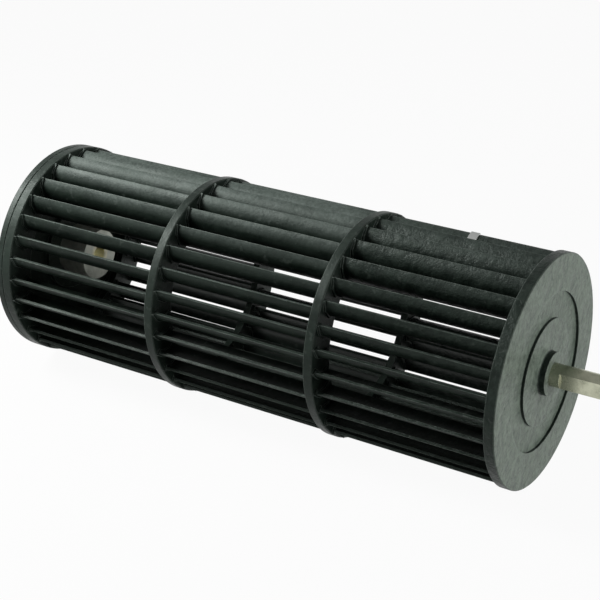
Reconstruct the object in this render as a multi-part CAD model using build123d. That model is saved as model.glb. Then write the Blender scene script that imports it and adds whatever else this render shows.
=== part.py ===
"""Cross flow fan wheel: three moulded blade sections welded end to end.

The wheel turns about the X axis.  X = 0 is the outer face of the motor-end cap, where the
motor shaft enters, and +X runs towards the steel bearing shaft.  Units are millimetres.
"""
import os
from math import asin, atan2, cos, hypot, radians, sin, tau

from build123d import *

# --- wheel ------------------------------------------------------------------
WHEEL_RADIUS = 50.0
BLADES_PER_SECTION = 30
SECTION_COUNT = 3
RIM_CHAMFER = 0.35

# --- lengths along the axis ----------------------------------------------------
CAP_THICKNESS = 3.4
END_RING_THICKNESS = 4.6
BLADE_SPAN = 76.8
RING_THICKNESS = 4.2
DISC_THICKNESS = 4.7

# --- one blade: a circular arc in section, the same all along its span -----------
BLADE_TIP_INSET = 1.6
BLADE_TIP_RADIUS = WHEEL_RADIUS - BLADE_TIP_INSET
BLADE_DEPTH = 9.9
BLADE_HEEL_RADIUS = BLADE_TIP_RADIUS - BLADE_DEPTH
BLADE_SWEEP = 5.0
BLADE_CAMBER = 2.3
BLADE_THICKNESS = 1.2
FIRST_BLADE_ANGLES = (3.5, 6.8, 11.5)

# --- rings and the raised pads that the blade ends are welded to ---------------------
RING_WIDTH = 12.8
RING_BORE_RADIUS = WHEEL_RADIUS - RING_WIDTH
RING_LIP = 1.6
RING_LIP_RADIUS = RING_BORE_RADIUS - RING_LIP
PAD_MARGIN = 1.0
PAD_HEIGHT = 1.0
PAD_BITE = 0.5

# --- motor-end cap, hub and bush --------------------------------------------------------
SPIGOT_LENGTH = 1.8
SPIGOT_CLEARANCE = 0.1
SPIGOT_WALL = 2.2
HUB_RADIUS = 12.0
HUB_LENGTH = 20.2
HUB_FLANGE_RADIUS = 16.0
HUB_FLANGE_THICKNESS = 2.4
HUB_FLANGE_PLACE = 1.6
CAP_ROOT_MARGIN = 3.5
CAP_ROOT_RADIUS = HUB_FLANGE_RADIUS + CAP_ROOT_MARGIN
CAP_ROOT_HEIGHT = 2.0
BUSH_WALL = 2.0
MOTOR_BORE_RADIUS = 4.0
BUSH_RADIUS = MOTOR_BORE_RADIUS + BUSH_WALL
BUSH_END_CHAMFER = 0.4

# --- set screw ------------------------------------------------------------------------
SCREW_RADIUS = 2.0
SCREW_PROUD = 1.2
SCREW_SOCKET_ACROSS_FLATS = 2.0
SCREW_SOCKET_DEPTH = 2.0
SCREW_FROM_HUB_END = 4.0
SCREW_POINT_GAP = 0.3
SCREW_ANGLE = 8.0

# --- shaft-end disc --------------------------------------------------------------------
GROOVE_INNER_RADIUS = 22.8
GROOVE_OUTER_RADIUS = 34.0
GROOVE_DEPTH = 1.3
BOSS_RADIUS = 9.3
BOSS_HEIGHT = 3.0
BOSS_FILLET = 0.9
INNER_BOSS_RADIUS = 12.0
INNER_BOSS_LENGTH = 12.0
INNER_BOSS_FLARE = 2.0
INNER_BOSS_FLOOR = 2.0

# --- bearing shaft -----------------------------------------------------------------------
SHAFT_RADIUS = 5.0
SHAFT_CHAMFER = 0.6
KNURL_HEIGHT = 0.2
KNURL_INSET = 0.8
FLAT_DEPTH = 1.5
FLAT_START = 4.4
FLAT_LENGTH = 17.0
FLAT_ANGLE = 189.0
RELIEF_WIDTH = 1.6
RELIEF_DEPTH = 0.5
JOURNAL_LENGTH = 12.0

# --- balance clip ---------------------------------------------------------------------------
CLIP_WIDTH = 4.0
CLIP_LEG = 4.2
CLIP_SHEET = 0.5
CLIP_CLEARANCE = 0.05
CLIP_BLADE = 8
CLIP_FROM_DISC = 39.2

# --- places along the axis, from the sizes above ----------------------------------------------
PITCH_ANGLE = 360.0 / BLADES_PER_SECTION
FIRST_SEAT = CAP_THICKNESS + END_RING_THICKNESS
SECTION_PITCH = BLADE_SPAN + RING_THICKNESS
DISC_START = FIRST_SEAT + BLADE_SPAN + (SECTION_COUNT - 1) * SECTION_PITCH
DISC_FACE = DISC_START + DISC_THICKNESS
BOSS_FACE = DISC_FACE + BOSS_HEIGHT
FLAT_END = BOSS_FACE + FLAT_START + FLAT_LENGTH
JOURNAL_START = FLAT_END + RELIEF_WIDTH
SHAFT_END = JOURNAL_START + JOURNAL_LENGTH + SHAFT_CHAMFER
INNER_BOSS_END = DISC_START - INNER_BOSS_LENGTH


def section_angle(index):
    """Angle of the first blade of a section, counted from +Y towards +Z."""
    return 180.0 - FIRST_BLADE_ANGLES[index]


def seat_of(index):
    """Place of the ring face that the blades of a section start from."""
    return FIRST_SEAT + index * SECTION_PITCH


# --- blade section ------------------------------------------------------------------------------
class BladeArc:
    """Mid-line of the blade: centre and radius of its arc, and the angles of tip and heel."""

    def __init__(self):
        sweep = radians(BLADE_SWEEP)
        tip = (BLADE_TIP_RADIUS, 0.0)
        heel = (BLADE_HEEL_RADIUS * cos(sweep), BLADE_HEEL_RADIUS * sin(sweep))
        chord_x = tip[0] - heel[0]
        chord_y = tip[1] - heel[1]
        chord = hypot(chord_x, chord_y)
        self.radius = (chord**2 / 4 + BLADE_CAMBER**2) / (2 * BLADE_CAMBER)
        depth = self.radius - BLADE_CAMBER
        normal = (-chord_y / chord, chord_x / chord)
        self.centre = (
            (tip[0] + heel[0]) / 2 - normal[0] * depth,
            (tip[1] + heel[1]) / 2 - normal[1] * depth,
        )
        self.middle = atan2(normal[1], normal[0])
        self.half = asin(chord / 2 / self.radius)

    def point(self, radius, angle):
        """Point at a radius and angle about the centre of the arc."""
        return (self.centre[0] + radius * cos(angle), self.centre[1] + radius * sin(angle))

    def outline(self, grow=0.0, leg=None):
        """Face of the blade section, grown by a margin; leg keeps only that much at the tip."""
        outer = self.radius + BLADE_THICKNESS / 2 + grow
        inner = self.radius - BLADE_THICKNESS / 2 - grow
        tip_angle = self.middle - self.half - grow / self.radius
        heel_angle = self.middle + self.half + grow / self.radius
        if leg is not None:
            heel_angle = tip_angle + leg / self.radius
        mid_angle = (tip_angle + heel_angle) / 2
        convex = ThreePointArc(
            self.point(outer, tip_angle), self.point(outer, mid_angle), self.point(outer, heel_angle)
        )
        heel_edge = Line(self.point(outer, heel_angle), self.point(inner, heel_angle))
        concave = ThreePointArc(
            self.point(inner, heel_angle), self.point(inner, mid_angle), self.point(inner, tip_angle)
        )
        tip_edge = Line(self.point(inner, tip_angle), self.point(outer, tip_angle))
        return make_face([convex, heel_edge, concave, tip_edge])

    def pad(self):
        """Straight-sided face round the blade section, with two bends in each long side."""
        outer = self.radius + BLADE_THICKNESS / 2 + PAD_MARGIN
        inner = self.radius - BLADE_THICKNESS / 2 - PAD_MARGIN
        first = self.middle - self.half
        last = self.middle + self.half + PAD_MARGIN / self.radius
        angles = [first + (last - first) * step / 3 for step in range(4)]
        front = [self.point(outer, angle) for angle in angles]
        rear = [self.point(inner, angle) for angle in reversed(angles)]
        return make_face(Polyline(*front, *rear, close=True))


BLADE = BladeArc()


def along_axis(face, start, length, angle):
    """Prism of a blade-shaped face from a place on the axis, turned about the axis."""
    placed = Pos(start, 0, 0) * Rot(angle, 0, 0) * (Plane.YZ * face)
    return extrude(placed, amount=length, dir=(1, 0, 0))


def blade_row(face, start, length, index):
    """All the copies of a blade-shaped prism round one section."""
    first = section_angle(index)
    return [along_axis(face, start, length, first + k * PITCH_ANGLE) for k in range(BLADES_PER_SECTION)]


# --- rings ------------------------------------------------------------------------------------------
def turned(points):
    """Body of revolution about the axis from (place, radius) points."""
    outline = make_face(Polyline(*[(x, r) for x, r in points], close=True))
    return revolve(outline, axis=Axis.X)


def circle_at(body, radius, place):
    """The circular edge of a turned body at a radius and a place along the axis."""
    circles = body.edges().filter_by(GeomType.CIRCLE)
    return circles.filter_by(lambda e: hypot(e.radius - radius, e.arc_center.X - place) < 1e-4)


def ring_body(start, thickness, left_bore, right_bore):
    """Plain ring with chamfered rims and a bore that narrows from its left to its right face."""
    end = start + thickness
    return turned(
        [
            (start, left_bore),
            (start, WHEEL_RADIUS - RIM_CHAMFER),
            (start + RIM_CHAMFER, WHEEL_RADIUS),
            (end - RIM_CHAMFER, WHEEL_RADIUS),
            (end, WHEEL_RADIUS - RIM_CHAMFER),
            (end, right_bore),
        ]
    )


def with_pads(ring, face_place, index):
    """Adds the raised pads for the next section's blade ends to a ring's right face."""
    return ring + blade_row(BLADE.pad(), face_place - PAD_BITE, PAD_HEIGHT + PAD_BITE, index)


def moulded_blades(index, ring_face):
    """Blades of a section, from the pads they are welded to into the ring they are moulded with."""
    start = seat_of(index) + PAD_HEIGHT
    return blade_row(BLADE.outline(), start, ring_face + PAD_BITE - start, index)


# --- moulded pieces -----------------------------------------------------------------------------------
def motor_end_ring():
    """Ring at the motor end: cap seat on its left, pads for the first section on its right."""
    ring = ring_body(CAP_THICKNESS, END_RING_THICKNESS, RING_LIP_RADIUS, RING_LIP_RADIUS)
    seat = Pos(CAP_THICKNESS + SPIGOT_LENGTH / 2, 0, 0) * Rot(0, 90, 0) * Cylinder(
        RING_BORE_RADIUS, SPIGOT_LENGTH
    )
    return with_pads(ring - seat, FIRST_SEAT, 0)


def blade_section(index):
    """One moulded section: blades and the ring at their right end, with the next section's pads."""
    ring_face = seat_of(index) + BLADE_SPAN
    ring = ring_body(ring_face, RING_THICKNESS, RING_BORE_RADIUS, RING_LIP_RADIUS)
    ring = with_pads(ring, ring_face + RING_THICKNESS, index + 1)
    return ring + moulded_blades(index, ring_face)


def motor_end_cap():
    """Disc that closes the motor end, with a spigot for the ring and a root for the hub."""
    spigot_outer = RING_BORE_RADIUS - SPIGOT_CLEARANCE
    spigot_inner = spigot_outer - SPIGOT_WALL
    spigot_end = CAP_THICKNESS + SPIGOT_LENGTH
    root_end = CAP_THICKNESS + CAP_ROOT_HEIGHT
    body = turned(
        [
            (0, 0),
            (0, WHEEL_RADIUS - RIM_CHAMFER),
            (RIM_CHAMFER, WHEEL_RADIUS),
            (CAP_THICKNESS - RIM_CHAMFER, WHEEL_RADIUS),
            (CAP_THICKNESS, WHEEL_RADIUS - RIM_CHAMFER),
            (CAP_THICKNESS, spigot_outer),
            (spigot_end, spigot_outer),
            (spigot_end, spigot_inner),
            (CAP_THICKNESS, spigot_inner),
            (CAP_THICKNESS, CAP_ROOT_RADIUS),
            (root_end, CAP_ROOT_RADIUS),
            (root_end, 0),
        ]
    )
    return body - hub_blank()


# --- hub, bush and screw --------------------------------------------------------------------------------
def hub_blank():
    """Turned bar of the hub: a barrel with a flange that the cap is moulded round."""
    flange_end = HUB_FLANGE_PLACE + HUB_FLANGE_THICKNESS
    return turned(
        [
            (0, 0),
            (0, HUB_RADIUS),
            (HUB_FLANGE_PLACE, HUB_RADIUS),
            (HUB_FLANGE_PLACE, HUB_FLANGE_RADIUS),
            (flange_end, HUB_FLANGE_RADIUS),
            (flange_end, HUB_RADIUS),
            (HUB_LENGTH, HUB_RADIUS),
            (HUB_LENGTH, 0),
        ]
    )


def hub():
    """Metal hub with a round hole for the bush and a cross hole for the set screw."""
    seat = turned([(0, 0), (0, BUSH_RADIUS), (HUB_LENGTH, BUSH_RADIUS), (HUB_LENGTH, 0)])
    return hub_blank() - seat - set_screw(solid=True)


def hub_bush():
    """Brass bush pressed into the hub, with a lead-in at both ends of its bore."""
    lead_in = MOTOR_BORE_RADIUS + BUSH_END_CHAMFER
    bush = turned(
        [
            (0, lead_in),
            (0, BUSH_RADIUS),
            (HUB_LENGTH, BUSH_RADIUS),
            (HUB_LENGTH, lead_in),
            (HUB_LENGTH - BUSH_END_CHAMFER, MOTOR_BORE_RADIUS),
            (BUSH_END_CHAMFER, MOTOR_BORE_RADIUS),
        ]
    )
    return bush - set_screw(solid=True)


def set_screw(solid=False):
    """Socket set screw that runs in from the side of the hub; solid leaves out its hexagon."""
    top = HUB_RADIUS + SCREW_PROUD
    bottom = MOTOR_BORE_RADIUS + SCREW_POINT_GAP
    length = top - bottom
    screw = Pos(0, 0, bottom + length / 2) * Cylinder(SCREW_RADIUS, length)
    if not solid:
        socket_radius = SCREW_SOCKET_ACROSS_FLATS / 2 / cos(tau / 12)
        hexagon = RegularPolygon(socket_radius, 6)
        screw -= Pos(0, 0, top - SCREW_SOCKET_DEPTH) * extrude(hexagon, SCREW_SOCKET_DEPTH)
    place = HUB_LENGTH - SCREW_FROM_HUB_END
    return Pos(place, 0, 0) * Rot(SCREW_ANGLE - 90, 0, 0) * screw


def disc_body():
    """Disc of the shaft end: ring groove and boss outside, longer boss for the shaft inside."""
    body = turned(
        [
            (INNER_BOSS_END, 0),
            (INNER_BOSS_END, INNER_BOSS_RADIUS),
            (DISC_START - INNER_BOSS_FLARE, INNER_BOSS_RADIUS),
            (DISC_START, INNER_BOSS_RADIUS + INNER_BOSS_FLARE),
            (DISC_START, WHEEL_RADIUS - RIM_CHAMFER),
            (DISC_START + RIM_CHAMFER, WHEEL_RADIUS),
            (DISC_FACE - RIM_CHAMFER, WHEEL_RADIUS),
            (DISC_FACE, WHEEL_RADIUS - RIM_CHAMFER),
            (DISC_FACE, GROOVE_OUTER_RADIUS),
            (DISC_FACE - GROOVE_DEPTH, GROOVE_OUTER_RADIUS),
            (DISC_FACE - GROOVE_DEPTH, GROOVE_INNER_RADIUS),
            (DISC_FACE, GROOVE_INNER_RADIUS),
            (DISC_FACE, BOSS_RADIUS),
            (BOSS_FACE, BOSS_RADIUS),
            (BOSS_FACE, 0),
        ]
    )
    return fillet(circle_at(body, BOSS_RADIUS, DISC_FACE), BOSS_FILLET)


def shaft_end_section():
    """Last section: its blades and the shaft-end disc are one moulding round the shaft."""
    return disc_body() - shaft_bar() + moulded_blades(SECTION_COUNT - 1, DISC_START)


# --- shaft and clip --------------------------------------------------------------------------------------
def shaft_bar():
    """Turned bar of the bearing shaft: knurled length in the boss, relief groove, then journal."""
    bottom = INNER_BOSS_END + INNER_BOSS_FLOOR
    knurl_end = BOSS_FACE - KNURL_INSET
    return turned(
        [
            (bottom, 0),
            (bottom, SHAFT_RADIUS + KNURL_HEIGHT),
            (knurl_end, SHAFT_RADIUS + KNURL_HEIGHT),
            (knurl_end, SHAFT_RADIUS),
            (FLAT_END, SHAFT_RADIUS),
            (FLAT_END, SHAFT_RADIUS - RELIEF_DEPTH),
            (JOURNAL_START, SHAFT_RADIUS - RELIEF_DEPTH),
            (JOURNAL_START, SHAFT_RADIUS),
            (SHAFT_END - SHAFT_CHAMFER, SHAFT_RADIUS),
            (SHAFT_END, SHAFT_RADIUS - SHAFT_CHAMFER),
            (SHAFT_END, 0),
        ]
    )


def bearing_shaft():
    """Steel bearing shaft: the turned bar with a flat milled between the boss and the groove."""
    cutter = Box(FLAT_LENGTH, SHAFT_RADIUS, 2 * SHAFT_RADIUS)
    reach = SHAFT_RADIUS - FLAT_DEPTH + SHAFT_RADIUS / 2
    middle = FLAT_END - FLAT_LENGTH / 2
    return shaft_bar() - Rot(FLAT_ANGLE, 0, 0) * Pos(middle, reach, 0) * cutter


def balance_clip():
    """Folded sheet clip pushed over the tip of one blade of the last section."""
    strip = BLADE.outline(CLIP_CLEARANCE + CLIP_SHEET, leg=CLIP_LEG)
    hollow = BLADE.outline(CLIP_CLEARANCE)
    start = DISC_FACE - CLIP_FROM_DISC - CLIP_WIDTH
    angle = section_angle(SECTION_COUNT - 1) - CLIP_BLADE * PITCH_ANGLE
    return along_axis(strip, start, CLIP_WIDTH, angle) - along_axis(hollow, start, CLIP_WIDTH, angle)


# --- writing the pieces ----------------------------------------------------------------------------------
os.makedirs("parts", exist_ok=True)
PIECES = {
    "motor_end_cap": motor_end_cap(),
    "hub": hub(),
    "hub_bush": hub_bush(),
    "set_screw": set_screw(),
    "motor_end_ring": motor_end_ring(),
    "blade_section_motor_end": blade_section(0),
    "blade_section_middle": blade_section(1),
    "blade_section_shaft_end": shaft_end_section(),
    "bearing_shaft": bearing_shaft(),
    "balance_clip": balance_clip(),
}
for name, piece in PIECES.items():
    export_step(piece, f"parts/{name}.step")
    print(f"{name}: {piece.volume:.0f} mm3, {len(piece.solids())} solid")
print(f"length over the shaft {SHAFT_END:.1f}, blade arc radius {BLADE.radius:.2f}")
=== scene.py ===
# %% [markdown]
# # A cross flow fan wheel on a pale table
# The wheel comes from a cooling unit: a long cage of curved blades, moulded in black
# glass filled plastic, with a steel shaft at one end and a metal hub with a brass bush at
# the other.
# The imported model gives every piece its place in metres.  This script adds what a
# drawing leaves out: the camera, the light, the finish of each material and the small
# marks that moulding, welding and handling leave behind.

# %% Load the frame
import random
from math import cos, radians, sin

import bmesh
import bpy
from mathutils import Matrix, Vector


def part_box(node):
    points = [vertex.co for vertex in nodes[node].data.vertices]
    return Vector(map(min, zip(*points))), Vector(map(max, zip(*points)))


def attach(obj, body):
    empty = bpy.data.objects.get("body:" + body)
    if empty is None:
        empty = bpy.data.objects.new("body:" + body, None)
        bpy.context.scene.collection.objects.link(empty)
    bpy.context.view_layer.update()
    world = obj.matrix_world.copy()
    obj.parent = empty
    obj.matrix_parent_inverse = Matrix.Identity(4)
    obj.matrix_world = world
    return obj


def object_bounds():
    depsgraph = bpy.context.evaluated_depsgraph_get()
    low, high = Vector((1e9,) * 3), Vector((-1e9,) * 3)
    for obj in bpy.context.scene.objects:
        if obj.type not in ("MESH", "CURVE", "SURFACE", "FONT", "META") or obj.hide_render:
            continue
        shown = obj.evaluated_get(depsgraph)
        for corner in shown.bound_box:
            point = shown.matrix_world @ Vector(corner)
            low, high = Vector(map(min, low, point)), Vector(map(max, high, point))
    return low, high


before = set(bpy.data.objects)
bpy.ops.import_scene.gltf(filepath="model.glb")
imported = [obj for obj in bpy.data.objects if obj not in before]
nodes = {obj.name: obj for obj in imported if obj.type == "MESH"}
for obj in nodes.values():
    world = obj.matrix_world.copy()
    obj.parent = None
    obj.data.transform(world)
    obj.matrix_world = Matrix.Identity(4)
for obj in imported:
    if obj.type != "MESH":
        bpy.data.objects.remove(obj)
cad_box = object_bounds()
scene = bpy.context.scene
scene.view_settings.view_transform = "Standard"
print("nodes:", ", ".join(sorted(nodes)))

# %% [markdown]
# Most of the sizes that the looks need are read from the boxes of the pieces.  The boss is
# part of a larger piece, so its height is named.  The wheel turns about the X axis, and the
# shaft points to +X.

# %% Sizes read from the frame
MM = 0.001
BOSS_HEIGHT = 3.0 * MM


def span(name, axis):
    """Lowest and highest place of a piece along one axis."""
    low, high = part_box(name)
    return low[axis], high[axis]


wheel_radius = span("blade_section_middle", 2)[1]
section_end = span("blade_section_shaft_end", 0)[1]
disc_face = section_end - BOSS_HEIGHT
print(f"wheel radius {wheel_radius:.4f} m, disc face at {disc_face:.4f} m")

# %% [markdown]
# A long lens from the right front, a little above the wheel, keeps the three sections
# nearly parallel while the disc at the shaft end stays open to view.  The camera's place is
# worked out from its two angles, its distance from the middle of the disc, and how far the
# aim is moved to the left of the disc and down.

# %% Camera
VIEW_AZIMUTH = radians(31.77)
VIEW_ELEVATION = radians(25.02)
VIEW_DISTANCE = 11.893 * wheel_radius
AIM_LEFT = 2.002 * wheel_radius
AIM_DOWN = 0.589 * wheel_radius
LENS = 87.8
SENSOR_WIDTH = 36.0
NEAREST_VIEW = 0.01

back = Vector((
    sin(VIEW_AZIMUTH) * cos(VIEW_ELEVATION),
    -cos(VIEW_AZIMUTH) * cos(VIEW_ELEVATION),
    sin(VIEW_ELEVATION),
))
right = Vector((cos(VIEW_AZIMUTH), sin(VIEW_AZIMUTH), 0.0))
up = back.cross(right)
disc_middle = Vector((disc_face, 0.0, 0.0))
eye = disc_middle + back * VIEW_DISTANCE - right * AIM_LEFT + up * AIM_DOWN

camera_data = bpy.data.cameras.new("camera")
camera_data.lens = LENS
camera_data.sensor_width = SENSOR_WIDTH
camera_data.clip_start = NEAREST_VIEW
camera = bpy.data.objects.new("camera", camera_data)
scene.collection.objects.link(camera)
camera.matrix_world = Matrix((
    (right.x, up.x, back.x, eye.x),
    (right.y, up.y, back.y, eye.y),
    (right.z, up.z, back.z, eye.z),
    (0.0, 0.0, 0.0, 1.0),
))
scene.camera = camera
print("camera at", tuple(round(value, 3) for value in eye))

# %% [markdown]
# Small helpers for shader trees.  A node is added and placed in one call, and an input
# takes either a plain value or the output of another node.

# %% Helpers: nodes and plain sums
def add_node(tree, kind, **settings):
    """New node of a kind, with its settings and its input values."""
    node = tree.nodes.new(kind)
    inputs = settings.pop("inputs", {})
    for name, value in settings.items():
        setattr(node, name, value)
    for name, value in inputs.items():
        give(tree, node.inputs[name], value)
    return node


def give(tree, socket, value):
    """Puts a plain value into a socket, or links an output to it."""
    if isinstance(value, bpy.types.NodeSocket):
        tree.links.new(value, socket)
    else:
        socket.default_value = value


def maths(tree, operation, first, second=0.0, clamp=False):
    """Output of a Math node."""
    node = add_node(tree, "ShaderNodeMath", operation=operation, use_clamp=clamp)
    give(tree, node.inputs[0], first)
    give(tree, node.inputs[1], second)
    return node.outputs[0]


def ramp(tree, value, low, high, low_out=0.0, high_out=1.0):
    """Output of a Map Range node that is clamped at both ends."""
    node = add_node(tree, "ShaderNodeMapRange", clamp=True)
    for name, number in (
        ("Value", value), ("From Min", low), ("From Max", high),
        ("To Min", low_out), ("To Max", high_out),
    ):
        give(tree, node.inputs[name], number)
    return node.outputs["Result"]


def product(tree, first, *others):
    """Product of several values, multiplied from left to right."""
    for other in others:
        first = maths(tree, "MULTIPLY", first, other)
    return first


def blend_colour(tree, factor, first, second):
    """Colour between two colours."""
    node = add_node(tree, "ShaderNodeMix", data_type="RGBA")
    give(tree, node.inputs["Factor"], factor)
    give(tree, node.inputs["A"], first)
    give(tree, node.inputs["B"], second)
    return node.outputs["Result"]


print("helpers:", add_node.__name__, ramp.__name__, blend_colour.__name__)

# %% [markdown]
# The second set of helpers gives patterns and groups.  Every pattern is laid in object
# coordinates, so it stays on its piece, and its scale is in cycles per metre.

# %% Helpers: patterns and groups
FLOAT = "NodeSocketFloat"
VECTOR = "NodeSocketVector"


def object_place(tree):
    """Object coordinates of the point that is shaded."""
    return add_node(tree, "ShaderNodeTexCoord").outputs["Object"]


def noise(tree, place, scale, detail=2.0, roughness=0.5, distortion=0.0):
    """Noise at a scale in cycles per metre, from 0 to 1."""
    node = add_node(tree, "ShaderNodeTexNoise", inputs={
        "Vector": place, "Scale": scale, "Detail": detail,
        "Roughness": roughness, "Distortion": distortion,
    })
    return node.outputs["Fac"]


def stretched(tree, place, scale):
    """Object coordinates with each axis scaled, so that a pattern runs along one of them."""
    node = add_node(tree, "ShaderNodeMapping", inputs={"Vector": place, "Scale": scale})
    return node.outputs["Vector"]


def new_group(name, inputs, outputs):
    """Shader node group with named inputs and outputs; gives its tree and its two ends."""
    tree = bpy.data.node_groups.new(name, "ShaderNodeTree")
    for label, value in inputs.items():
        socket = tree.interface.new_socket(label, in_out="INPUT", socket_type=FLOAT)
        socket.default_value = value
    for label, kind in outputs.items():
        tree.interface.new_socket(label, in_out="OUTPUT", socket_type=kind)
    return tree, tree.nodes.new("NodeGroupInput"), tree.nodes.new("NodeGroupOutput")


def use_group(tree, group, **values):
    """A group placed in a material, with its own values."""
    node = add_node(tree, "ShaderNodeGroup", node_tree=group)
    for label, value in values.items():
        give(tree, node.inputs[label.replace("_", " ")], value)
    return node


print("group sockets are", FLOAT, "or", VECTOR)

# %% [markdown]
# ## Effects that several finishes share
# Glass filled plastic never comes out of the mould in one even tone.  The melt leaves
# cloudy patches where it cooled at different speeds, short streaks along its flow, a fine
# grain, a few pale specks and flakes of fibre.  They are made once as a group, and each
# material mixes them in its own way.

# %% Group: marks of a moulding
STREAK_SCALE = 420.0
SPECK_SCALE = 330.0
FLAKE_SCALE = 480.0
CLOUD_LIMITS = (0.38, 0.62)
STREAK_LIMITS = (0.3, 0.7)
SPECK_LIMITS = (0.62, 0.72)
FLAKE_LIMITS = (0.36, 0.64)


def moulding_marks():
    """Group of five masks that a plastic moulding shows on its skin."""
    tree, start, end = new_group(
        "moulding_marks",
        {"Cloud Scale": 55.0, "Streak Length": 0.12, "Grain Scale": 1400.0},
        {"Clouds": FLOAT, "Streaks": FLOAT, "Grain": FLOAT, "Specks": FLOAT, "Flakes": FLOAT},
    )
    place = object_place(tree)
    clouds = noise(tree, place, start.outputs["Cloud Scale"], detail=5.0, roughness=0.62)
    stretch = add_node(tree, "ShaderNodeCombineXYZ", inputs={
        "X": start.outputs["Streak Length"], "Y": 1.0, "Z": 1.0,
    })
    streak_place = stretched(tree, place, stretch.outputs["Vector"])
    streaks = noise(tree, streak_place, STREAK_SCALE, detail=3.0, roughness=0.55)
    grain = noise(tree, place, start.outputs["Grain Scale"], detail=2.0, roughness=0.6)
    specks = noise(tree, place, SPECK_SCALE, detail=2.0, roughness=0.5)
    flakes = noise(tree, place, FLAKE_SCALE, detail=3.0, roughness=0.65, distortion=0.6)
    for label, value in (
        ("Clouds", ramp(tree, clouds, *CLOUD_LIMITS)),
        ("Streaks", ramp(tree, streaks, *STREAK_LIMITS)),
        ("Grain", grain),
        ("Specks", ramp(tree, specks, *SPECK_LIMITS)),
        ("Flakes", ramp(tree, flakes, *FLAKE_LIMITS)),
    ):
        give(tree, end.inputs[label], value)
    return tree


marks_group = moulding_marks()
print("group", marks_group.name)

# %% [markdown]
# Handling rubs the corners of a piece paler.  A Bevel node looks round each point for a
# corner, and where its normal leaves the real one there is an edge.  The same normal also
# rounds the corner in the light, which saves modelling a tiny radius on every blade.

# %% Group: worn and rounded edges
WEAR_PATCH_SCALE = 160.0
UNWORN, FULLY_WORN = 0.99, 0.8
LEAST_WEAR = 0.25


def worn_edges():
    """Group that gives a mask of worn corners and a normal that rounds them."""
    tree, start, end = new_group(
        "worn_edges", {"Radius": 0.0004, "Wear": 0.5}, {"Mask": FLOAT, "Normal": VECTOR}
    )
    rounded = add_node(
        tree, "ShaderNodeBevel", samples=6, inputs={"Radius": start.outputs["Radius"]}
    )
    plain = add_node(tree, "ShaderNodeNewGeometry").outputs["Normal"]
    likeness = add_node(tree, "ShaderNodeVectorMath", operation="DOT_PRODUCT")
    give(tree, likeness.inputs[0], rounded.outputs["Normal"])
    give(tree, likeness.inputs[1], plain)
    edge = ramp(tree, likeness.outputs["Value"], UNWORN, FULLY_WORN)
    patches = noise(tree, object_place(tree), WEAR_PATCH_SCALE, detail=4.0, roughness=0.65)
    uneven = product(tree, edge, ramp(tree, patches, 0.35, 0.65, LEAST_WEAR, 1.0))
    mask = maths(tree, "MULTIPLY", uneven, start.outputs["Wear"], clamp=True)
    give(tree, end.inputs["Mask"], mask)
    give(tree, end.inputs["Normal"], rounded.outputs["Normal"])
    return tree


edges_group = worn_edges()
print("group", edges_group.name)

# %% [markdown]
# Dust settles on what faces upwards, and the same mask paints the light that falls on the
# tops, so it is partly real dust and partly painted top light.  The mask comes from the height
# part of the surface normal, broken up by two sizes of noise.  It starts at a level, so the
# lower half is left dark as painted shade, and hands wipe it off the outermost rims.

# %% Group: dust and painted top light on what faces up
DUST_PATCH_SCALE = 38.0
DUST_GRAIN_SCALE = 700.0
DUST_AND_TOP_LIGHT_SLOPES = (0.05, 0.75)
DUST_AND_TOP_LIGHT_FADE_HEIGHT = 20.0 * MM
WIPED_DEPTHS = (0.3 * MM, 0.9 * MM)
DUST_LEFT_ON_RIM = 0.15


def dust_and_top_light():
    """Group that gives a mask of dust and painted top light, by slope, height and distance from
    the rim.
    """
    tree, start, end = new_group(
        "dust_and_top_light", {"Amount": 0.2, "Level": 0.0, "Rim Radius": 1.0}, {"Mask": FLOAT}
    )
    coordinates = add_node(tree, "ShaderNodeTexCoord")
    facing = add_node(
        tree, "ShaderNodeSeparateXYZ", inputs={"Vector": coordinates.outputs["Normal"]}
    )
    # Upward faces turn pale: partly dust, partly painted top light.
    upward = ramp(tree, facing.outputs["Z"], *DUST_AND_TOP_LIGHT_SLOPES)
    place = coordinates.outputs["Object"]
    parts = add_node(tree, "ShaderNodeSeparateXYZ", inputs={"Vector": place})
    height = maths(tree, "SUBTRACT", parts.outputs["Z"], start.outputs["Level"])
    # The fade with height keeps the painted top light off the lower half, which stays dark as
    # painted shade.
    above = ramp(tree, height, 0.0, DUST_AND_TOP_LIGHT_FADE_HEIGHT)
    squares = [maths(tree, "POWER", parts.outputs[axis], 2.0) for axis in "YZ"]
    from_axis = maths(tree, "SQRT", maths(tree, "ADD", *squares))
    inside_rim = maths(tree, "SUBTRACT", start.outputs["Rim Radius"], from_axis)
    unwiped = ramp(tree, inside_rim, *WIPED_DEPTHS, DUST_LEFT_ON_RIM, 1.0)
    broad = ramp(tree, noise(tree, place, DUST_PATCH_SCALE, detail=3.0), 0.3, 0.7, 0.4, 1.0)
    specks = noise(tree, place, DUST_GRAIN_SCALE, detail=3.0, roughness=0.7)
    fine = ramp(tree, specks, 0.35, 0.65, 0.45, 1.0)
    laid = product(tree, product(tree, upward, above, unwiped), product(tree, broad, fine))
    mask = maths(tree, "MULTIPLY", laid, start.outputs["Amount"], clamp=True)
    give(tree, end.inputs["Mask"], mask)
    return tree


dust_and_top_light_group = dust_and_top_light()
print("group", dust_and_top_light_group.name)
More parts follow.
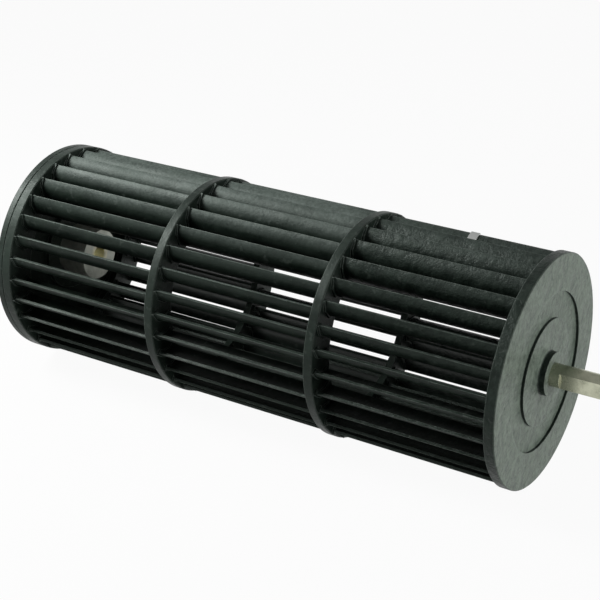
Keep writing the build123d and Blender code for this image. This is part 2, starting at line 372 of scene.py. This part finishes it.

# %% [markdown]
# ## Black plastic of the wheel
# The plastic is nearly black with a green cast, satin rather than glossy.  Clouds and streaks
# change its colour and its roughness, the grain gives a fine bump, worn edges are paler, and
# dust greys whatever faces up, which also paints the light on the tops.  Filled plastic
# reflects less than its smooth surface promises, because the fibres roughen it, so the
# specular level is low.  The outer face of the disc is mottled, and a mask gives it two colours
# of its own that are much paler than the rest of its moulding: their paleness is painted sheen.

# %% Black plastic: its colours and the painted sheen on the disc's face
DARK_PLASTIC = (0.0045, 0.0080, 0.0060, 1.0)
PALE_PLASTIC = (0.018, 0.027, 0.021, 1.0)
WORN_PLASTIC = (0.190, 0.225, 0.200, 1.0)
# This colour is both dust and painted top light: it pales the upward faces of the blades.
DUST_AND_TOP_LIGHT_COLOUR = (0.205, 0.245, 0.224, 1.0)
# Both face colours are painted sheen: paler than the body where the disc's face turns to the
# light.
FACE_SHEEN_DARK = (0.052, 0.068, 0.054, 1.0)
FACE_SHEEN_PALE = (0.152, 0.186, 0.152, 1.0)
PLASTIC_SPECULAR = 0.18
GREEN_SHEEN = (0.88, 1.0, 0.92, 1.0)
FACE_SLOPES = (0.55, 0.95)
FACE_FADE = 0.5 * MM


def new_material(name):
    """New material with a Principled shader; gives the material, its tree and the shader."""
    material = bpy.data.materials.new(name)
    material.use_nodes = True
    tree = material.node_tree
    tree.nodes.clear()
    shader = tree.nodes.new("ShaderNodeBsdfPrincipled")
    output = tree.nodes.new("ShaderNodeOutputMaterial")
    tree.links.new(shader.outputs["BSDF"], output.inputs["Surface"])
    return material, tree, shader


def sheen_face_mask(tree, face_start):
    """Mask of what faces the shaft's way at the outer end, the open face of the disc, where its
    sheen is painted.
    """
    coordinates = add_node(tree, "ShaderNodeTexCoord")
    facing = add_node(
        tree, "ShaderNodeSeparateXYZ", inputs={"Vector": coordinates.outputs["Normal"]}
    )
    place = add_node(
        tree, "ShaderNodeSeparateXYZ", inputs={"Vector": coordinates.outputs["Object"]}
    )
    turned = ramp(tree, facing.outputs["X"], *FACE_SLOPES)
    outside = ramp(tree, place.outputs["X"], face_start, face_start + FACE_FADE)
    return product(tree, turned, outside)


def bumped(tree, normal, height, depth, strength):
    """Normal of a surface with a relief of a depth laid over another normal."""
    bump = add_node(tree, "ShaderNodeBump", inputs={
        "Strength": strength, "Distance": depth, "Height": height, "Normal": normal,
    })
    return bump.outputs["Normal"]


print("face mask fades over", FACE_FADE, "m")

# %% [markdown]
# One function makes both plastics.  They differ in the size of their clouds, in their dust
# and painted top light and in the depth of their grain, and only the end plastic has the pale
# face, whose paleness is painted sheen.

# %% Black plastic: the two finishes
STREAK_LENGTH = 0.12
CLOUD_SHARE = 0.6
SPECK_STRENGTH = 0.12
PLASTIC_EDGE_RADIUS = 0.45 * MM
DUST_AND_TOP_LIGHT_LEVEL = 5.0 * MM
DUST_ROUGHNESS = 0.25
SMOOTHEST, ROUGHEST = 0.34, 0.52
FACE_DEPTH = 2.0 * MM


def weighted(tree, first, weight, second, other_weight):
    """Sum of two values, each with its weight."""
    return maths(tree, "ADD", product(tree, first, weight), product(tree, second, other_weight))


def plastic_finish(name, cloud_scale, dust_and_light_amount, relief_depth, face_start=None):
    """Black plastic; face_start is the place on the axis where the painted sheen of the disc's
    face begins.
    """
    material, tree, shader = new_material(name)
    marks = use_group(
        tree, marks_group, Cloud_Scale=cloud_scale, Streak_Length=STREAK_LENGTH
    ).outputs
    edges = use_group(tree, edges_group, Radius=PLASTIC_EDGE_RADIUS, Wear=1.0).outputs
    # Mask of dust and painted top light on the upward faces of the upper half.
    dust_and_light_mask = use_group(
        tree, dust_and_top_light_group, Amount=dust_and_light_amount, Level=DUST_AND_TOP_LIGHT_LEVEL, Rim_Radius=wheel_radius
    ).outputs["Mask"]
    tone = weighted(tree, marks["Clouds"], CLOUD_SHARE, marks["Streaks"], 1.0 - CLOUD_SHARE)
    body = blend_colour(tree, tone, DARK_PLASTIC, PALE_PLASTIC)
    if face_start is not None:
        # The mottling is the face's own tone; its paleness over the body is painted sheen.
        mottled = weighted(tree, marks["Clouds"], 0.5, marks["Flakes"], 0.5)
        face = blend_colour(tree, mottled, FACE_SHEEN_DARK, FACE_SHEEN_PALE)
        body = blend_colour(tree, sheen_face_mask(tree, face_start), body, face)
    specks = product(tree, marks["Specks"], SPECK_STRENGTH)
    specked = blend_colour(tree, specks, body, WORN_PLASTIC)
    worn = blend_colour(tree, edges["Mask"], specked, WORN_PLASTIC)
    # Base colour: the worn body, greyed by dust and by painted top light on upward faces.
    give(tree, shader.inputs["Base Color"], blend_colour(tree, dust_and_light_mask, worn, DUST_AND_TOP_LIGHT_COLOUR))
    smooth = ramp(tree, tone, 0.0, 1.0, SMOOTHEST, ROUGHEST)
    roughness = maths(tree, "ADD", smooth, product(tree, dust_and_light_mask, DUST_ROUGHNESS))
    give(tree, shader.inputs["Roughness"], roughness)
    relief = maths(tree, "ADD", product(tree, marks["Grain"], 0.5), marks["Clouds"])
    normal = bumped(tree, edges["Normal"], relief, relief_depth, strength=0.5)
    give(tree, shader.inputs["Normal"], normal)
    shader.inputs["Specular IOR Level"].default_value = PLASTIC_SPECULAR
    shader.inputs["Specular Tint"].default_value = GREEN_SHEEN
    return material


blade_plastic = plastic_finish("blade_plastic", 60.0, dust_and_light_amount=0.5, relief_depth=0.35 * MM)
end_plastic = plastic_finish("end_plastic", 200.0, dust_and_light_amount=0.2, relief_depth=0.5 * MM,
                             face_start=disc_face - FACE_DEPTH)
print("plastics:", blade_plastic.name, end_plastic.name)

# %% [markdown]
# ## Metals
# The hub is a pale alloy, the shaft turned steel, the bush brass, the screw a darker steel and
# the clip spring steel.  All five share one function: a metal with a colour, fine tool marks,
# and a slight tarnish in patches.  The marks are drawn out round the axis on the turned
# pieces and along it on the clip, and they have no direction on the screw.

# %% Turned and rolled metals
TARNISH_SCALE = 210.0
TARNISH_LIMITS = (0.4, 0.75)
TARNISH_ROUGHNESS = 0.14
METAL_EDGE_RADIUS = 0.2 * MM
METAL_WEAR = 0.6


def metal_finish(name, bright, tarnished, roughness, mark_scale, mark_depth, stretch):
    """Metal with two tones; stretch scales the axes on which its tool marks are laid."""
    material, tree, shader = new_material(name)
    place = object_place(tree)
    marks = noise(tree, stretched(tree, place, stretch), mark_scale, detail=3.0, roughness=0.6)
    tarnish = noise(tree, place, TARNISH_SCALE, detail=4.0, roughness=0.6)
    patches = ramp(tree, tarnish, *TARNISH_LIMITS)
    give(tree, shader.inputs["Base Color"], blend_colour(tree, patches, bright, tarnished))
    dulled = ramp(tree, patches, 0.0, 1.0, roughness, roughness + TARNISH_ROUGHNESS)
    give(tree, shader.inputs["Roughness"], dulled)
    shader.inputs["Metallic"].default_value = 1.0
    edges = use_group(tree, edges_group, Radius=METAL_EDGE_RADIUS, Wear=METAL_WEAR).outputs
    normal = bumped(tree, edges["Normal"], marks, mark_depth, strength=0.35)
    give(tree, shader.inputs["Normal"], normal)
    return material


hub_alloy = metal_finish(
    "hub_alloy", (0.52, 0.54, 0.48, 1.0), (0.36, 0.38, 0.33, 1.0),
    roughness=0.42, mark_scale=1900.0, mark_depth=0.012 * MM, stretch=(1.0, 0.1, 0.1),
)
shaft_steel = metal_finish(
    "shaft_steel", (0.50, 0.51, 0.39, 1.0), (0.34, 0.35, 0.26, 1.0),
    roughness=0.20, mark_scale=2400.0, mark_depth=0.01 * MM, stretch=(1.0, 0.06, 0.06),
)
bush_brass = metal_finish(
    "bush_brass", (0.62, 0.60, 0.45, 1.0), (0.42, 0.41, 0.30, 1.0),
    roughness=0.34, mark_scale=1800.0, mark_depth=0.01 * MM, stretch=(1.0, 0.1, 0.1),
)
screw_steel = metal_finish(
    "screw_steel", (0.55, 0.55, 0.54, 1.0), (0.30, 0.30, 0.29, 1.0),
    roughness=0.35, mark_scale=1800.0, mark_depth=0.01 * MM, stretch=(1.0, 1.0, 1.0),
)
clip_steel = metal_finish(
    "clip_steel", (0.78, 0.80, 0.78, 1.0), (0.60, 0.62, 0.60, 1.0),
    roughness=0.22, mark_scale=1500.0, mark_depth=0.008 * MM, stretch=(0.1, 1.0, 1.0),
)
print("metals:", hub_alloy.name, shaft_steel.name, bush_brass.name, screw_steel.name,
      clip_steel.name)

# %% [markdown]
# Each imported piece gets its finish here.  The disc and the last blades are one moulding, so
# they share the end plastic.

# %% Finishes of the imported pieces
FINISHES = {
    "motor_end_cap": blade_plastic,
    "hub": hub_alloy,
    "hub_bush": bush_brass,
    "set_screw": screw_steel,
    "motor_end_ring": blade_plastic,
    "blade_section_motor_end": blade_plastic,
    "blade_section_middle": blade_plastic,
    "blade_section_shaft_end": end_plastic,
    "bearing_shaft": shaft_steel,
    "balance_clip": clip_steel,
}
for name, finish in FINISHES.items():
    for slot in nodes[name].material_slots:
        slot.material = finish
print("finished", len(FINISHES), "pieces")

# %% [markdown]
# ## Weld flash and gate mark
# The sections are welded end to end: each blade's end is melted onto its pad, and a little
# plastic is squeezed out at the corners.  A bead of it is a small sphere, flattened along the
# wheel's axis.  All the beads of a section are one piece, made in one bmesh, because they
# share their finish and never move apart.  The start of each section is read from its box.
# The blades' own sizes can't be read from a box, so they are named.

# %% Pieces made here: where they go and how they are finished
BLADES = 30
FIRST_BLADES = {
    "blade_section_motor_end": 3.5,
    "blade_section_middle": 6.8,
    "blade_section_shaft_end": 11.5,
}
TIP_INSET = 1.6 * MM
BLADE_DEPTH = 9.9 * MM
TIP_RADIUS = wheel_radius - TIP_INSET
HEEL_RADIUS = TIP_RADIUS - BLADE_DEPTH
HEEL_SWEEP = 5.0


def round_the_wheel(along, radius, degrees):
    """Point at a place along the axis, at a radius and an angle from +Y towards +Z."""
    angle = radians(degrees)
    return Vector((along, radius * cos(angle), radius * sin(angle)))


def finished_piece(name, shape, finish):
    """Object from a bmesh, with its material, carried by the wheel."""
    for face in shape.faces:
        face.smooth = True
    mesh = bpy.data.meshes.new(name)
    shape.to_mesh(mesh)
    shape.free()
    mesh.materials.append(finish)
    piece = bpy.data.objects.new(name, mesh)
    scene.collection.objects.link(piece)
    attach(piece, "root")
    return piece


print(BLADES, "blades from radius", round(HEEL_RADIUS, 4), "to", round(TIP_RADIUS, 4))

# %% [markdown]
# Two beads sit on each blade, one inside its tip and one outside its heel.  Their sizes are
# drawn from one seeded row, section by section, blade by blade, the tip's before the heel's.

# %% Weld flash at the blades' ends
BEAD_SIZE = 0.75 * MM
BEAD_SIZES = (0.6, 1.1)
BEAD_SHAPE = (0.7, 1.3, 0.8)
BEAD_INSET = 0.5 * MM


def bead(shape, centre, degrees, size):
    """Flattened sphere of squeezed plastic, turned with the blade that it sits on."""
    lump = bmesh.ops.create_icosphere(shape, subdivisions=1, radius=size)["verts"]
    turn = Matrix.Rotation(radians(degrees), 3, "X")
    bmesh.ops.scale(shape, verts=lump, vec=BEAD_SHAPE)
    bmesh.ops.rotate(shape, verts=lump, cent=(0, 0, 0), matrix=turn)
    bmesh.ops.translate(shape, verts=lump, vec=centre)


sizes = random.Random(5)
for section, first in FIRST_BLADES.items():
    start = span(section, 0)[0]
    flash = bmesh.new()
    for blade in range(BLADES):
        tip = 180.0 - first + blade * 360.0 / BLADES
        heel = tip + HEEL_SWEEP
        for radius, degrees in ((TIP_RADIUS - BEAD_INSET, tip), (HEEL_RADIUS + BEAD_INSET, heel)):
            size = BEAD_SIZE * sizes.uniform(*BEAD_SIZES)
            bead(flash, round_the_wheel(start, radius, degrees), degrees, size)
    short_name = section.removeprefix("blade_section_")
    piece = finished_piece(f"weld_flash_{short_name}", flash, blade_plastic)
    print(piece.name, "with", 2 * BLADES, "beads from", round(start, 4))

# %% [markdown]
# The disc was filled through a gate on its rim.  Where the sprue was cut off, a small stub
# stays.  It is a short cone that stands out along the radius, with its outer edge bevelled.
# It sits a shoulder's width behind the disc's face.

# %% Gate mark on the rim of the disc
GATE_ANGLE = 20.0
RIM_SHOULDER = 0.5 * MM
GATE_RADIUS = 1.5 * MM
GATE_TAPER = 0.8
GATE_PROUD = 1.7 * MM
GATE_BEVEL = 0.2 * MM


def gate_mark():
    """Stub of the gate, half of its length sunk in the rim."""
    shape = bmesh.new()
    bmesh.ops.create_cone(
        shape, cap_ends=True, segments=16, radius1=GATE_RADIUS,
        radius2=GATE_TAPER * GATE_RADIUS, depth=2 * GATE_PROUD,
    )
    rim = [edge for edge in shape.edges if all(vert.co.z > 0 for vert in edge.verts)]
    bmesh.ops.bevel(
        shape, geom=rim, offset=GATE_BEVEL, segments=2, profile=0.5, affect="EDGES", material=-1
    )
    turn = Matrix.Rotation(radians(GATE_ANGLE - 90.0), 3, "X")
    foot = round_the_wheel(disc_face - GATE_RADIUS - RIM_SHOULDER, wheel_radius, GATE_ANGLE)
    bmesh.ops.rotate(shape, verts=shape.verts, cent=(0, 0, 0), matrix=turn)
    bmesh.ops.translate(shape, verts=shape.verts, vec=foot)
    return finished_piece("gate_mark", shape, blade_plastic)


print("gate mark faces:", len(gate_mark().data.polygons))

# %% [markdown]
# ## Table and light
# The wheel lies on a pale table.  Table and room show as white to the camera and in the
# metal, while the table keeps a share of its own shaded surface, and with it the wheel's
# shadow.

# %% Floor
FLOOR_SIZE = 30.0
FLOOR_SHARE = 0.95
GREY = (0.5, 0.5, 0.5, 1.0)
WHITE = (1.0, 1.0, 1.0, 1.0)


def seen_directly(tree):
    """1 for rays of the camera, of gloss and of glass, and 0 for the rest."""
    ray = add_node(tree, "ShaderNodeLightPath").outputs
    seen = maths(tree, "ADD", ray["Is Camera Ray"], ray["Is Glossy Ray"], clamp=True)
    return maths(tree, "ADD", seen, ray["Is Transmission Ray"], clamp=True)


def table_paint():
    """White glow for direct rays, mixed with a grey surface that takes the shadow."""
    material = bpy.data.materials.new("table_paint")
    material.use_nodes = True
    tree = material.node_tree
    tree.nodes.clear()
    shaded = add_node(tree, "ShaderNodeBsdfDiffuse", inputs={"Color": GREY})
    glow = add_node(tree, "ShaderNodeEmission", inputs={"Color": WHITE, "Strength": 1.0})
    mixed = add_node(tree, "ShaderNodeMixShader")
    give(tree, mixed.inputs[0], product(tree, seen_directly(tree), FLOOR_SHARE))
    tree.links.new(shaded.outputs[0], mixed.inputs[1])
    tree.links.new(glow.outputs[0], mixed.inputs[2])
    output = tree.nodes.new("ShaderNodeOutputMaterial")
    tree.links.new(mixed.outputs[0], output.inputs["Surface"])
    return material


floor_height = cad_box[0][2]
table = bmesh.new()
bmesh.ops.create_grid(table, x_segments=1, y_segments=1, size=FLOOR_SIZE / 2)
bmesh.ops.translate(table, verts=table.verts, vec=(disc_face / 2, 0.0, floor_height))
floor_mesh = bpy.data.meshes.new("floor")
table.to_mesh(floor_mesh)
table.free()
floor_mesh.materials.append(table_paint())
floor = bpy.data.objects.new("floor", floor_mesh)
scene.collection.objects.link(floor)
print(f"floor at {floor_height:.3f} m")

# %% [markdown]
# The room is white with a darker ceiling, and it lights the wheel far less than it shows.  A
# soft lamp beyond the motor end, above the wheel and on its near side, rakes over the tops of
# the blades.  A second one faces the disc at the shaft end.  The fronts of the rings stay
# dark.

# %% Room and lamps
ROOM_LIGHT = 0.10
CEILING = 0.4
CEILING_HEIGHTS = (0.2, 0.42)
KEY_PLACE, KEY_AIM = (-0.25, -0.17, 0.35), Vector((0.04, 0.0, 0.0))
KEY_SIZE, KEY_POWER = (0.24, 0.20), 4.0
DISC_PLACE, DISC_AIM = (0.95, 0.02, 0.12), disc_middle
DISC_SIZE, DISC_POWER = (0.35, 0.35), 3.9


def light_room():
    """World that is shown at one level and lights the wheel at another."""
    world = bpy.data.worlds.new("room")
    world.use_nodes = True
    tree = world.node_tree
    coordinates = add_node(tree, "ShaderNodeTexCoord")
    direction = add_node(
        tree, "ShaderNodeSeparateXYZ", inputs={"Vector": coordinates.outputs["Generated"]}
    )
    shown = ramp(tree, direction.outputs["Z"], *CEILING_HEIGHTS, 1.0, CEILING)
    seen = seen_directly(tree)
    unseen = maths(tree, "SUBTRACT", 1.0, seen)
    background = tree.nodes["Background"]
    give(tree, background.inputs["Strength"], weighted(tree, shown, seen, unseen, ROOM_LIGHT))
    background.inputs["Color"].default_value = WHITE
    return world


def soft_lamp(name, place, aim, size, power):
    """Rectangular lamp at a place that faces a point of the wheel."""
    light = bpy.data.lights.new(name, "AREA")
    light.shape = "RECTANGLE"
    light.size, light.size_y = size
    light.energy = power
    lamp = bpy.data.objects.new(name, light)
    scene.collection.objects.link(lamp)
    lamp.location = place
    lamp.rotation_euler = (aim - Vector(place)).to_track_quat("-Z", "Y").to_euler()
    return lamp


scene.world = light_room()
key_lamp = soft_lamp("key_lamp", KEY_PLACE, KEY_AIM, KEY_SIZE, KEY_POWER)
disc_lamp = soft_lamp("disc_lamp", DISC_PLACE, DISC_AIM, DISC_SIZE, DISC_POWER)
print("lamps:", key_lamp.name, disc_lamp.name)
